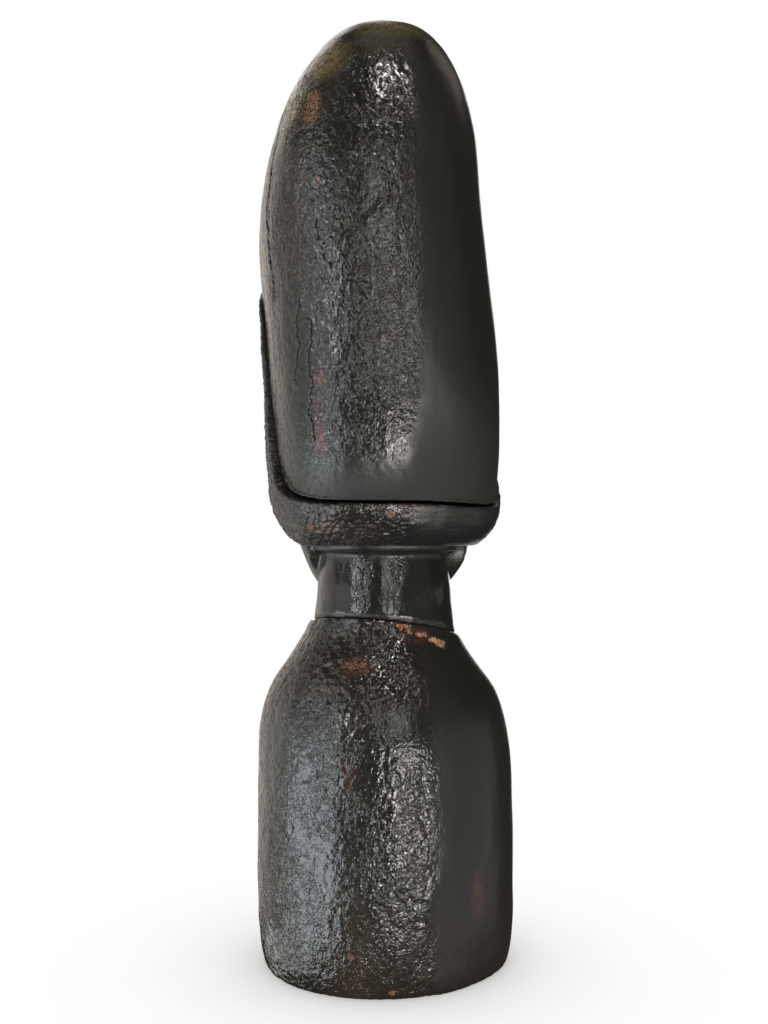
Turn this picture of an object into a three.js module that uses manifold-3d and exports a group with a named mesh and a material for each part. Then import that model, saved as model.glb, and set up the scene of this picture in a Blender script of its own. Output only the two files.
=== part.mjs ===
// Carved ancestor figure: a tall-headed bust in black-finished hardwood, made of a shoulder block,
// a head block with its neck, a domed cap, a roll of hair and the pegs and tenon that hold them.
// Millimetres, +Z up. The figure faces -Y and +X is its own left. The origin is the middle of its foot.
import * as THREE from "three";
import { LoftGeometry } from "three/addons/geometries/LoftGeometry.js";
import { mergeVertices } from "three/addons/utils/BufferGeometryUtils.js";
import Module from "manifold-3d";

const wasm = await Module();
wasm.setup();

// ---------------------------------------------------------------- driving dimensions
const GAP = 0.35; // clearance between pieces that touch
const SEAM = 0.7; // open joint at the foot of the neck
const CAP_GROOVE = 1.3; // dark groove between the cap and the hair roll
const FAR = 90; // reaches past the figure from its middle, for cutters

const NECK_SEAM_Z = 149.6; // height of the neck joint on the axis
const SEAM_BACK_TILT = 9; // degrees: the joint is higher at the nape than at the throat
const SEAM_SIDE_TILT = 7.5; // degrees: and higher on the figure's left

const EDGE_SAG_LEFT = 1.5; // drop of the cap's edge from its middle to the figure's left side
const EDGE_SAG_RIGHT = 4.5; // and to its right side, where it was cut lower

const DOME_FROM = 300; // the head is full width up to here
const DOME_TOP = 428.5; // crown of the cap
const CORE_DOME_FROM = 352;
const CORE_TOP = 398;

const BLOCK_FLATNESS = 0.935; // depth of the shoulder block at its foot, as a share of its width
const BLOCK_TURN = 20; // degrees the oval of the block is turned from the way the face looks

const TENON_RADIUS = 13;
const TENON_LENGTH = 88;
const PEG_RADIUS = 2.7;
const PEG_PROUD = 0.35; // how far a peg's end stands out of the surface

// ---------------------------------------------------------------- solids and sections
function solidOf(geometry) {
  const bare = new THREE.BufferGeometry().setAttribute("position", geometry.getAttribute("position"));
  if (geometry.index) bare.setIndex(geometry.index);
  const merged = mergeVertices(bare, 1e-4);
  return new wasm.Manifold(new wasm.Mesh({
    numProp: 3,
    vertProperties: new Float32Array(merged.attributes.position.array),
    triVerts: new Uint32Array(merged.index.array),
  }));
}

function geometryOf(solid) {
  const mesh = solid.getMesh();
  const geometry = new THREE.BufferGeometry();
  geometry.setAttribute("position", new THREE.BufferAttribute(mesh.vertProperties, 3));
  geometry.setIndex(new THREE.BufferAttribute(mesh.triVerts, 1));
  geometry.computeVertexNormals();
  return geometry;
}

const joined = (solids) => solids.reduce((sum, next) => sum.add(next));

// A number of evenly spaced values from one to another, both included.
function range(from, to, count) {
  return Array.from({ length: count }, (_, i) => from + (to - from) * i / (count - 1));
}

// How much of its full width a dome keeps at height z: a superellipse from spring line to crown.
function domeShare(z, from, top) {
  const rise = THREE.MathUtils.clamp((z - from) / (top - from), 0, 1);
  return (1 - rise ** 2.8) ** (1 / 2.2);
}

// Heights that crowd together towards a dome's crown.
function domeHeights(from, top, count) {
  return range(0, 1, count).map((t) => from + (top - from) * Math.sin(t * Math.PI / 2 * 0.965));
}

// A closed carved form whose level sections are superellipses. A station is
// [height, half width, reach to the front, reach to the back, shift to the figure's left].
function carvedForm(stations, heights, { power = 2.4, around = 56, share = () => 1 } = {}) {
  const positions = stations.map((s) => s[0]);
  const values = stations.flatMap((s) => s.slice(1));
  const along = new THREE.CubicInterpolant(positions, values, 4, new Float32Array(4));
  const rounded = (c) => Math.sign(c) * Math.abs(c) ** (2 / power);
  const sections = heights.map((z) => {
    const [half, front, back, shift] = along.evaluate(z);
    const keep = share(z);
    return range(0, Math.PI * 2, around + 1).slice(0, -1).map((angle) => {
      const x = shift + half * keep * rounded(Math.cos(angle));
      const y = (angle < Math.PI ? back : front) * keep * rounded(Math.sin(angle));
      return new THREE.Vector3(x, y, z);
    });
  });
  return solidOf(new LoftGeometry(sections, { capStart: true, capEnd: true }));
}

// A cutter as wide as the figure, from an outline drawn in the side view: points are [y, z]. It sags
// towards its sides as a carved line does when it is worked round a form.
function sideCutter(outline) {
  const shape = new THREE.Shape(outline.map(([y, z]) => new THREE.Vector2(y, z)));
  const geometry = new THREE.ExtrudeGeometry(shape, { depth: 2 * FAR, steps: 18, bevelEnabled: false });
  geometry.translate(0, 0, -FAR);
  const sideways = new THREE.Matrix4().makeBasis(
    new THREE.Vector3(0, 1, 0),
    new THREE.Vector3(0, 0, 1),
    new THREE.Vector3(1, 0, 0),
  );
  const position = geometry.applyMatrix4(sideways).getAttribute("position");
  for (let i = 0; i < position.count; i++) {
    const x = position.getX(i);
    position.setZ(i, position.getZ(i) - sagAt(x));
  }
  return solidOf(geometry);
}

// How far the cap's edge has dropped at a distance x from its middle; more on the figure's right.
function sagAt(x) {
  const reach = x < 0 ? EDGE_SAG_RIGHT : EDGE_SAG_LEFT;
  return reach * (x / 50) ** 2;
}

// An egg-shaped lump or hollow of the carving, with its three radii, turned by degrees about X
// (tip), about Y (roll) and about Z (swing).
function lump([x, y, z], [rx, ry, rz], { tip = 0, roll = 0, swing = 0, round = 14 } = {}) {
  const geometry = new THREE.SphereGeometry(1, round, Math.round(round * 0.7));
  geometry.scale(rx, ry, rz);
  geometry.rotateX(THREE.MathUtils.degToRad(tip));
  geometry.rotateY(THREE.MathUtils.degToRad(roll));
  geometry.rotateZ(THREE.MathUtils.degToRad(swing));
  return solidOf(geometry.translate(x, y, z));
}

const mirrored = (make) => [make(1), make(-1)];

// A round rod from one point to another.
function rod(from, to, radius, sides = 20) {
  const start = new THREE.Vector3(...from);
  const run = new THREE.Vector3(...to).sub(start);
  const geometry = new THREE.CylinderGeometry(radius, radius, run.length(), sides);
  geometry.translate(0, run.length() / 2, 0);
  const up = new THREE.Vector3(0, 1, 0);
  const turn = new THREE.Quaternion().setFromUnitVectors(up, run.clone().normalize());
  return solidOf(geometry.applyQuaternion(turn).translate(start.x, start.y, start.z));
}

// Everything above, or below, the plane of the neck joint, moved along it by an offset.
function besideSeam(above, offset) {
  const box = new THREE.BoxGeometry(2 * FAR, 2 * FAR, 4 * FAR);
  box.translate(0, 0, (above ? 2 * FAR : -2 * FAR) + offset);
  box.rotateX(THREE.MathUtils.degToRad(SEAM_BACK_TILT));
  box.rotateY(THREE.MathUtils.degToRad(-SEAM_SIDE_TILT));
  return solidOf(box.translate(0, 0, NECK_SEAM_Z));
}

// ---------------------------------------------------------------- side-view edges
// A smooth edge through a few [y, z] points that run from the back to the front, moved down and
// forward by an offset.
function edgeLine(points, offset) {
  const curve = new THREE.SplineCurve(points.map(([y, z]) => new THREE.Vector2(y, z)));
  return range(0, 1, 40).map((t) => {
    const point = curve.getPoint(t);
    const along = curve.getTangent(t);
    return [point.x - along.y * offset, point.y + along.x * offset];
  });
}

// The cap's lower edge: level round the nape, then up behind the ear and over the forehead.
const capEdge = (offset) => edgeLine([
  [90, 206.3], [54, 206.3], [36, 208.6], [22, 213.2], [13.5, 220], [7.5, 229], [1.5, 246],
  [-5.5, 268], [-13, 291],
  [-22, 306], [-37, 314.5], [-60, 318], [-90, 320],
], offset);

// The face's back edge: under the jaw, round its corner, up in front of the hair roll and along the
// hairline.
const hairline = (offset) => edgeLine([
  [-42, 153], [-26, 160], [-11, 170], [-2, 182], [-1, 193], [-4, 208], [-9, 228], [-15, 252],
  [-22, 274], [-32, 290], [-46, 298], [-64, 301], [-90, 302.5],
], offset);

const capRegion = sideCutter([...capEdge(-CAP_GROOVE / 2), [-90, 500], [90, 500]]);
const hairRegion = sideCutter([...capEdge(CAP_GROOVE / 2), ...hairline(-GAP / 2).reverse(), [90, 153]]);
const faceRegion = sideCutter([...hairline(GAP / 2), [-90, 120]]);

// ---------------------------------------------------------------- carved forms
const capForm = carvedForm([
  [200, 50.2, 59, 49, -0.6],
  [215, 50.6, 60.5, 52, -0.6],
  [233, 51, 61.5, 55, -0.1],
  [262, 51.4, 62, 58.5, 1.2],
  [284, 51, 62, 60.5, 2.9],
  [304, 50.4, 62, 61.5, 5.0],
  [322, 50.2, 62, 62, 6.8],
  [346, 50.1, 61, 62, 7.6],
  [366, 50.4, 60, 62, 6.7],
  [392, 50.4, 58, 63, 5.4],
  [415, 50, 56, 64, 3],
  [431, 50.4, 55, 66, -0.6],
], [...range(200, DOME_FROM, 7), ...domeHeights(DOME_FROM, DOME_TOP, 14).slice(1)], {
  power: 2.5,
  share: (z) => domeShare(z, DOME_FROM, DOME_TOP),
});

const hairForm = carvedForm([
  [188, 39, 56, 41, -0.6],
  [189.6, 42, 60, 44.4, -0.6],
  [194, 46.4, 62.5, 48.5, -0.6],
  [199, 49.6, 63.5, 51, -0.5],
  [206, 52, 64, 52.6, 0.1],
  [233, 53.2, 64.5, 56, 0.7],
  [265, 53.2, 65, 58, 2.0],
  [290, 53.1, 65, 58, 3.5],
  [306, 52.9, 65, 58, 4.7],
  [330, 52.9, 64.5, 58, 5.6],
], [188, 189.2, 191, 194, 198, 203, ...range(212, 330, 9)], { power: 2.5, around: 52 });

const faceForm = carvedForm([
  [158.5, 12, 43, 4, -1.4],
  [161, 20, 49, 9, -1.8],
  [166, 27.5, 53, 14, -2.4],
  [174, 33.4, 56.5, 18, -2.8],
  [184, 38, 58.5, 22, -2.4],
  [196, 41.2, 60, 26, -0.8],
  [212, 44.2, 60.5, 30, -0.3],
  [232, 46.4, 60.5, 30, 0],
  [254, 47.8, 61, 30, 0.4],
  [280, 48.8, 62, 30, 1.2],
  [312, 49.4, 62, 30, 2.6],
], [158.5, 160, 163, 167, 173, 181, ...range(190, 312, 9)], { power: 2.35, around: 48 });

const neckForm = carvedForm([
  [128, 36, 36, 36, 0.4],
  [150, 32.6, 32.6, 32.6, 0.3],
  [160, 31.2, 31.2, 31.2, 0.1],
  [174, 30.2, 30.2, 30.2, 0],
  [186, 28, 28, 28, 0],
  [205, 26, 26, 26, 0],
], range(128, 205, 8), { power: 2.1, around: 44 });

// The plain core of the head block, which the cap and the hair roll fit over. It can be grown by a
// clearance to cut their seats.
function coreForm(grow) {
  const stations = [
    [185.5, 32.5, 42, 31.5, 0],
    [192, 33.5, 43, 32.5, 0],
    [212, 35, 45, 34.5, 0],
    [245, 36, 46, 42, 0.6],
    [300, 36, 46, 45, 2.4],
    [352, 36, 46, 45, 4.2],
    [CORE_TOP, 36, 44, 46, 3],
  ].map(([z, half, front, back, shift]) => [z, half + grow, front + grow, back + grow, shift]);
  const heights = [
    185.5 - grow, 187.5, 191,
    ...range(205, CORE_DOME_FROM, 6),
    ...domeHeights(CORE_DOME_FROM, CORE_TOP + grow, 6).slice(1),
  ];
  return carvedForm(stations, heights, {
    power: 2.4,
    around: 32,
    share: (z) => domeShare(z, CORE_DOME_FROM, CORE_TOP + grow + 1),
  });
}

// ---------------------------------------------------------------- face
const EYE = { x: 19.5, z: 244 };

// The nose is a small form of its own, widest across the nostrils, set into the front of the face.
function nose() {
  const form = carvedForm([
    [204, 8, 12, 5, 0],
    [207, 12, 19, 6, 0],
    [211, 12.6, 23, 8, 0],
    [216, 10.2, 23.2, 8, 0],
    [223, 7.2, 21, 8, 0],
    [236, 5.4, 16.5, 8, 0],
    [248, 5.6, 13, 8, 0],
    [258, 7, 10.6, 8, 0],
  ], [204, 205.5, 208, 212, 217, 224, 234, 246, 257], { power: 2.1, around: 20 });
  return form.translate([0, -49.5, 0]);
}

function brows() {
  return joined(mirrored((side) => {
    const turned = { roll: side * 6, swing: side * 21 };
    return lump([side * 20.5, -51.5, 257], [19, 8, 4.6], turned);
  }));
}

function eyeSockets() {
  return joined(mirrored((side) => {
    const turned = { roll: side * 4, swing: side * 20 };
    return lump([side * EYE.x, -61.8, EYE.z], [14, 7.5, 8.6], turned);
  }));
}

function eyes() {
  return joined(mirrored((side) => {
    const turned = { roll: side * 4, swing: side * 18 };
    const ball = lump([side * EYE.x, -52.6, EYE.z - 0.6], [11.2, 6, 5.6], turned);
    const slit = lump([side * EYE.x, -59.6, EYE.z - 1.8], [10, 2.6, 0.8], { ...turned, round: 12 });
    return ball.subtract(slit);
  }));
}

function mouthAndChin() {
  const upper = lump([0, -58.6, 193.2], [14.5, 6.6, 3.4]);
  const lower = lump([0, -58, 187.4], [12.5, 6.8, 3.8]);
  const chin = lump([0, -50, 171], [12, 8.6, 9]);
  return joined([upper, lower, chin]);
}

function ears() {
  return joined(mirrored((side) => {
    const shell = lump([side * 44.6, -25, 232], [6, 8, 16], { tip: -8 });
    const bowl = lump([side * 51.6, -25.5, 235], [3.6, 4.2, 9], { tip: -8 });
    return shell.subtract(bowl);
  }));
}

// ---------------------------------------------------------------- pegs and tenon
const tenonFrom = NECK_SEAM_Z - TENON_LENGTH / 2;
const tenonTo = NECK_SEAM_Z + TENON_LENGTH / 2;
const tenonHole = rod([0, 0, tenonFrom - GAP], [0, 0, tenonTo + GAP], TENON_RADIUS + GAP);

// Each peg is driven from a point outside the surface to its inner end in the core. Both cap pegs are
// on the figure's left.
const capPegs = {
  cap_peg_left_upper: { outside: [47, 47, 380.5], inner: [14, 16, 369] },
  cap_peg_left_lower: { outside: [46, 61, 342], inner: [16, 20, 336] },
};
const hairPegs = {
  hair_peg_nape: { outside: [9.2, 66, 201], inner: [4, 16, 202.5] },
};

// A peg cut off a little proud of a carved form's surface, and the hole it sits in.
function pegIn(form, { outside, inner }) {
  const out = new THREE.Vector3(...outside);
  const axis = out.clone().sub(new THREE.Vector3(...inner)).normalize();
  const proudForm = form.translate(axis.clone().multiplyScalar(PEG_PROUD).toArray());
  const beyond = new THREE.Vector3(...inner).addScaledVector(axis, -GAP).toArray();
  return {
    peg: rod(inner, outside, PEG_RADIUS, 14).intersect(proudForm),
    hole: rod(beyond, outside, PEG_RADIUS + GAP, 14),
  };
}

const pegsIn = (form, places) => Object.fromEntries(
  Object.entries(places).map(([name, ends]) => [name, pegIn(form, ends)]),
);
const pegs = { ...pegsIn(capForm, capPegs), ...pegsIn(hairForm, hairPegs) };
const pegHoles = joined(Object.values(pegs).map((p) => p.hole));

// ---------------------------------------------------------------- pieces
function shoulderBlock() {
  const heights = [0, 2, 8, 22, 42, 64, 84, 95, 104, 111, 118, 124, 130, 136, 142, 148, 154, 160, 168];
  const body = carvedForm([
    [0, 55.3, -1.6],
    [2, 56.2, -1.6],
    [12, 58, -1.4],
    [36, 58.9, -1],
    [72, 58.4, -0.7],
    [90, 57.8, -0.4],
    [100, 57, 0],
    [110, 55.6, 0.4],
    [118, 53.6, 0.8],
    [124, 51, 1],
    [130, 47, 1.8],
    [136, 42.8, 2.2],
    [142, 38.8, 2.2],
    [149, 34.6, 1.6],
    [156, 32.6, 0.8],
    [170, 31, 0.4],
  ].map(([z, half, shift]) => {
    const deep = half * THREE.MathUtils.mapLinear(Math.min(z, 150), 0, 150, BLOCK_FLATNESS, 1);
    return [z, half, deep, deep, shift];
  }), heights, { power: 2.06 });
  const turned = body.rotate([0, 0, BLOCK_TURN]);
  return turned.intersect(besideSeam(false, 0)).subtract(tenonHole);
}

function headBlock() {
  const neck = neckForm.intersect(besideSeam(true, SEAM));
  const face = faceForm.intersect(faceRegion);
  const plain = joined([neck, face, coreForm(0)]);
  const features = joined([eyes(), brows(), nose(), mouthAndChin(), ears()]);
  return plain.subtract(eyeSockets()).add(features).subtract(tenonHole).subtract(pegHoles);
}

const coreSeat = coreForm(GAP);
const capBlock = () => capForm.intersect(capRegion).subtract(coreSeat).subtract(pegHoles);
const hairRoll = () => hairForm.intersect(hairRegion).subtract(coreSeat).subtract(pegHoles);
const neckTenon = () => rod([0, 0, tenonFrom], [0, 0, tenonTo], TENON_RADIUS);

// ---------------------------------------------------------------- finishes
const blackenedWood = new THREE.MeshStandardMaterial({ color: 0x2b2724, roughness: 0.45, metalness: 0 });
const polishedWood = new THREE.MeshStandardMaterial({ color: 0x26221f, roughness: 0.32, metalness: 0 });
const granularHair = new THREE.MeshStandardMaterial({ color: 0x2a2723, roughness: 0.6, metalness: 0 });
const rawWood = new THREE.MeshStandardMaterial({ color: 0x7a4a30, roughness: 0.75, metalness: 0 });

// ---------------------------------------------------------------- assembly
const figure = new THREE.Group();

function place(name, solid, material) {
  const mesh = new THREE.Mesh(geometryOf(solid), material);
  mesh.name = name;
  figure.add(mesh);
}

place("shoulder_block", shoulderBlock(), blackenedWood);
place("head_block", headBlock(), polishedWood);
place("cap", capBlock(), polishedWood);
place("hair_roll", hairRoll(), granularHair);
place("neck_tenon", neckTenon(), rawWood);
for (const [name, { peg }] of Object.entries(pegs)) place(name, peg, rawWood);

export default figure;
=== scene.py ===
"""Carved ancestor figure: the looks. Each CAD piece that shows is copied, made dense, softened, and
worked over with the unevenness of carving by hand, drying checks, chips and wrinkled lacquer. All
pieces get a procedural material; the hidden tenon keeps its CAD shape.

Distances are in millimetres and turned into metres only where a mesh, node, lamp or camera is made.
+X is the figure's own left, the face looks along -Y, and the camera stands behind it. Each use of
random heights has a seed of its own.
"""

import math

import bmesh
import bpy
import numpy as np
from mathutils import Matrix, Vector, kdtree, noise


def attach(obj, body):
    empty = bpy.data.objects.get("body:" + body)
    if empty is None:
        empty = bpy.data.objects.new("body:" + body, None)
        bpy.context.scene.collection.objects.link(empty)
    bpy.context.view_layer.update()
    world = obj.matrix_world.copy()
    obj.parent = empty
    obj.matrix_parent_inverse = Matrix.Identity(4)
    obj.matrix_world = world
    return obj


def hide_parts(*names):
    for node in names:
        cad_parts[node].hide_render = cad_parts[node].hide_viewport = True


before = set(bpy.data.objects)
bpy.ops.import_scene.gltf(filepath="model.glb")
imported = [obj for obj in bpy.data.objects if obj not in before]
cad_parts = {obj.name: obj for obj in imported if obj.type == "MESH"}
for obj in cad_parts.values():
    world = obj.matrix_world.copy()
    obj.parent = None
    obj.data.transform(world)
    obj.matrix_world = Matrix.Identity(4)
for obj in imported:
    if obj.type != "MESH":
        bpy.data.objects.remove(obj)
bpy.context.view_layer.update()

MM = 0.001
SEED = 11
# About the radius of the cap and of the shoulder block.
TRUNK_RADIUS = 50
# The neck joint is a plane: its height on the axis and how it climbs to the back and to the left.
NECK_JOINT_HEIGHT = 150.3
NECK_JOINT_BACK = 0.158
NECK_JOINT_LEFT = 0.132
# The surface round a peg is read from this radius to twice as far from the peg's middle.
PEG_MOUTH = 3.8

# The steps in which sharp edges and drying checks are followed.
EDGE_STEP = 0.7
CHECK_STEP = 0.3
# How a drying check wanders: the length and the reach of each wave, and small jumps to one side
# after about so many steps.
CHECK_WAVES = ((21, 0.9), (8.3, 0.5), (3.1, 0.28), (1.3, 0.14))
CHECK_JUMP = 0.7
STEPS_PER_JUMP = 60

# What each vertex of a carved piece tells its material: bare wood, inside of a drying check (painted
# dark there as shade), dull lacquer, crawled lacquer, lines of a brush, beads of dust in the lacquer,
# a painted olive reflection on the crown, and red or amber wood showing through, the red along the
# block's right edge being painted shading.
FIELDS = ("bare", "check", "dull", "crawl", "brush", "grain", "olive_sheen", "red", "amber")

# The camera's height and its distance from the figure's axis, how many degrees it is swung to the
# left from straight behind, and the height on the axis that it looks at.
CAMERA_HEIGHT = 190
CAMERA_DISTANCE = 543
CAMERA_SWING = 12
AIM_HEIGHT = 203.6
# Its lens, the width of its sensor, and the nearest that it sees.
CAMERA_LENS = 41.27
CAMERA_SENSOR = 36
CLOSEST_SEEN = 20

# The floor, and how far from the figure its soft shade reaches.
FLOOR_RADIUS = 12000
FLOOR_SHADE_REACH = 110


# ------------------------------------------------------------------ meshes
def points_of(mesh):
    flat = np.empty(len(mesh.vertices) * 3)
    mesh.vertices.foreach_get("co", flat)
    return flat.reshape(-1, 3) / MM


def put_points(mesh, points):
    mesh.vertices.foreach_set("co", (points * MM).ravel())
    mesh.update()


def normals_of(mesh):
    flat = np.empty(len(mesh.vertices) * 3)
    mesh.vertex_normals.foreach_get("vector", flat)
    return flat.reshape(-1, 3)


def edges_of(mesh):
    flat = np.empty(len(mesh.edges) * 2, np.int32)
    mesh.edges.foreach_get("vertices", flat)
    return flat.reshape(-1, 2)


def reworked(piece, kind, **settings):
    """Puts one modifier's result into the piece's mesh."""
    modifier = piece.modifiers.new(kind.lower(), kind)
    for name, value in settings.items():
        setattr(modifier, name, value)
    graph = bpy.context.evaluated_depsgraph_get()
    mesh = bpy.data.meshes.new_from_object(piece.evaluated_get(graph))
    piece.modifiers.clear()
    piece.data = mesh


def smoothed(points, edges, share, rounds):
    """Moves each point towards the middle of its neighbours, by its own share, round after round."""
    count = len(points)
    first, second = edges.T
    neighbours = np.bincount(first, minlength=count) + np.bincount(second, minlength=count)
    for _ in range(rounds):
        middle = np.empty_like(points)
        for axis in range(3):
            sums = np.bincount(first, points[second, axis], count)
            sums += np.bincount(second, points[first, axis], count)
            middle[:, axis] = sums / neighbours
        points = points + share[:, None] * (middle - points)
    return points


def ramp(values, low, high):
    """0 at low and beyond it, 1 at high and beyond it, and a smooth rise between them."""
    share = np.clip((values - low) / (high - low), 0, 1)
    return share * share * (3 - 2 * share)


def distance_to(points, targets):
    """How far each point is from the nearest target."""
    tree = kdtree.KDTree(len(targets))
    for index, target in enumerate(targets):
        tree.insert(target, index)
    tree.balance()
    return np.array([tree.find(point)[2] for point in points.tolist()])


def sharp_edge_points(mesh, degrees):
    """Points along the edges that fold by more than some degrees."""
    work = bmesh.new()
    work.from_mesh(mesh)
    bmesh.ops.remove_doubles(work, verts=work.verts, dist=1e-6)
    found = []
    for edge in work.edges:
        if len(edge.link_faces) != 2 or edge.calc_face_angle() < math.radians(degrees):
            continue
        start, end = (vert.co / MM for vert in edge.verts)
        steps = max(1, round((end - start).length / EDGE_STEP))
        found += [start.lerp(end, step / steps) for step in range(steps + 1)]
    work.free()
    return found


def dense_copy(node, name, voxel, sharp_from, rounds):
    """A copy of a CAD node with a fine even mesh and its flat facets smoothed away, its sharp
    edges kept."""
    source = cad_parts[node]
    piece = bpy.data.objects.new(name, source.data.copy())
    bpy.context.scene.collection.objects.link(piece)
    reworked(piece, "REMESH", mode="VOXEL", voxel_size=voxel * MM)
    mesh = piece.data
    edges = edges_of(mesh)
    points = points_of(mesh)
    away = distance_to(points, sharp_edge_points(source.data, sharp_from))
    points = smoothed(points, edges, 0.5 * ramp(away, 1.2, 6), rounds)
    points = smoothed(points, edges, np.full(len(points), 0.5), 2)
    put_points(mesh, points)
    return piece


def thinned(piece, hidden, ratio):
    """Makes the mesh coarse at its hidden points, down to a share of all its faces."""
    group = piece.vertex_groups.new(name="hidden")
    group.add([int(i) for i in np.flatnonzero(hidden)], 1.0, "REPLACE")
    reworked(piece, "DECIMATE", ratio=ratio, vertex_group="hidden", vertex_group_factor=1000)
    piece.vertex_groups.clear()


def refined(piece, lines, reach):
    """Halves the mesh's edges near some lines of points."""
    work = bmesh.new()
    work.from_mesh(piece.data)
    targets = [point for line in lines for point in line]
    away = distance_to(np.array([vert.co / MM for vert in work.verts]), targets)
    work.verts.index_update()
    near = [edge for edge in work.edges if max(away[v.index] for v in edge.verts) < reach]
    bmesh.ops.subdivide_edges(work, edges=near, cuts=1, use_grid_fill=True)
    bmesh.ops.triangulate(work, faces=[face for face in work.faces if len(face.verts) > 4])
    work.to_mesh(piece.data)
    work.free()


# ------------------------------------------------------------------ carving
def lumps(points, size, seed, octaves=2):
    """Soft random heights, about -1 to 1, of some size across, deep and up."""
    places = points / np.asarray(size, float) + seed * 7.31
    return np.array([
        noise.fractal(place, 1.0, 2.0, octaves, noise_basis="PERLIN_ORIGINAL")
        for place in places.tolist()
    ])


def grains(points, size, seed):
    """Rounded grains with creases between them: 1 in the middle of each, 0 between."""
    places = points / np.asarray(size, float) + seed * 5.17
    heights = np.array([
        noise.noise(place, noise_basis="VORONOI_F1") for place in places.tolist()
    ])
    return np.clip(0.5 - 0.5 * heights, 0, 1)


def hollows(points, size, seed):
    """Random hollows with sharp ridges between them: 0 on the ridges, up to about 1 between."""
    return np.abs(lumps(points, size, seed))


def turned_to(points, degrees, narrow, wide):
    """1 on a side of the figure: within narrow degrees of a way round it (0 is behind it and 90 its
    left), 0 past wide degrees from that way."""
    angle = np.degrees(np.arctan2(points[:, 0], points[:, 1]))
    off = np.abs((angle - degrees + 180) % 360 - 180)
    return 1 - ramp(off, narrow, wide)


def spot(points, centre, radii):
    """1 round a centre and 0 beyond its radii."""
    away = np.sqrt((((points - np.asarray(centre)) / np.asarray(radii)) ** 2).sum(1))
    return 1 - ramp(away, 0.35, 1)


def above_neck_joint(points):
    """How far points are above the plane of the neck joint."""
    climb = NECK_JOINT_BACK * points[:, 1] + NECK_JOINT_LEFT * points[:, 0]
    return points[:, 2] - (NECK_JOINT_HEIGHT + climb)


def wandering(piece, corners, seed):
    """A line along the piece's surface through some corners, which wanders as a drying check does."""
    draw = np.random.default_rng(SEED + seed)
    line = []
    for start, end in zip(corners[:-1], corners[1:]):
        start, end = Vector(start), Vector(end)
        steps = max(2, round((end - start).length / CHECK_STEP))
        line += [start.lerp(end, i / steps) for i in range(steps)]
    run = np.arange(len(line)) * CHECK_STEP
    drift = np.zeros(len(line))
    for wave, reach in CHECK_WAVES:
        drift += reach * np.sin(run * 2 * math.pi / wave + draw.uniform(0, 6.28))
    for _ in range(len(line) // STEPS_PER_JUMP):
        drift[draw.integers(len(line)):] += draw.choice([-CHECK_JUMP, CHECK_JUMP])
    placed = []
    for point, aside in zip(line, drift):
        sideways = Vector((-point.y, point.x, 0)).normalized() * aside
        _, place, _, _ = piece.closest_point_on_mesh((point + sideways) * MM)
        placed.append(place / MM)
    return placed


class Surface:
    """The fields of one piece while it is carved: heights along the normals and painted shares."""

    def __init__(self, piece):
        self.piece = piece
        self.points = points_of(piece.data)
        self.normals = normals_of(piece.data)
        self.height = np.zeros(len(self.points))
        self.fields = {name: np.zeros(len(self.points)) for name in FIELDS}

    def outwards(self):
        """About 1 on the trunk's outer walls, 0 on its flat ends and less on walls that face in."""
        return (self.points[:, :2] * self.normals[:, :2]).sum(1) / TRUNK_RADIUS

    def raise_by(self, amount):
        self.height += amount

    def paint(self, name, amount):
        self.fields[name] = np.maximum(self.fields[name], amount)

    def stain_and_sheen(self, spots):
        """Paints a list of spots: field, share, centre and radii."""
        for name, share, centre, radii in spots:
            self.paint(name, share * spot(self.points, centre, radii))

    def chip(self, centre, radii, depth, bare):
        """A flake of lacquer and wood knocked off, with a ragged edge."""
        ragged = self.points + 0.8 * np.stack(
            [lumps(self.points, [1.6] * 3, seed) for seed in (3, 4, 5)], 1
        )
        share = ramp(spot(ragged, centre, radii), 0.2, 0.45)
        self.raise_by(-depth * share)
        self.paint("bare", bare * share)

    def crack(self, line, width, depth):
        """A groove with a sharp bottom and slightly curled lips."""
        away = distance_to(self.points, line)
        self.raise_by(-depth * np.clip(1 - away / width, 0, 1) ** 0.8)
        self.raise_by(0.1 * ramp(away, 2.4, 1.2) * ramp(away, width, width * 1.6))
        # The groove's inside, which the material paints dark as shade.
        self.paint("check", ramp(away, width * 0.9, width * 0.3))

    def finish(self):
        put_points(self.piece.data, self.points + self.normals * self.height[:, None])
        for name, values in self.fields.items():
            layer = self.piece.data.attributes.new(name, "FLOAT", "POINT")
            layer.data.foreach_set("value", values.astype(np.float32))
        self.piece.data.shade_smooth()


def handed_over(piece, material, slot, *nodes):
    """Gives a finished piece its material and puts it in the place of CAD nodes."""
    piece.data.materials.clear()
    piece.data.materials.append(material)
    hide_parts(*nodes)
    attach(piece, "root")


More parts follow.
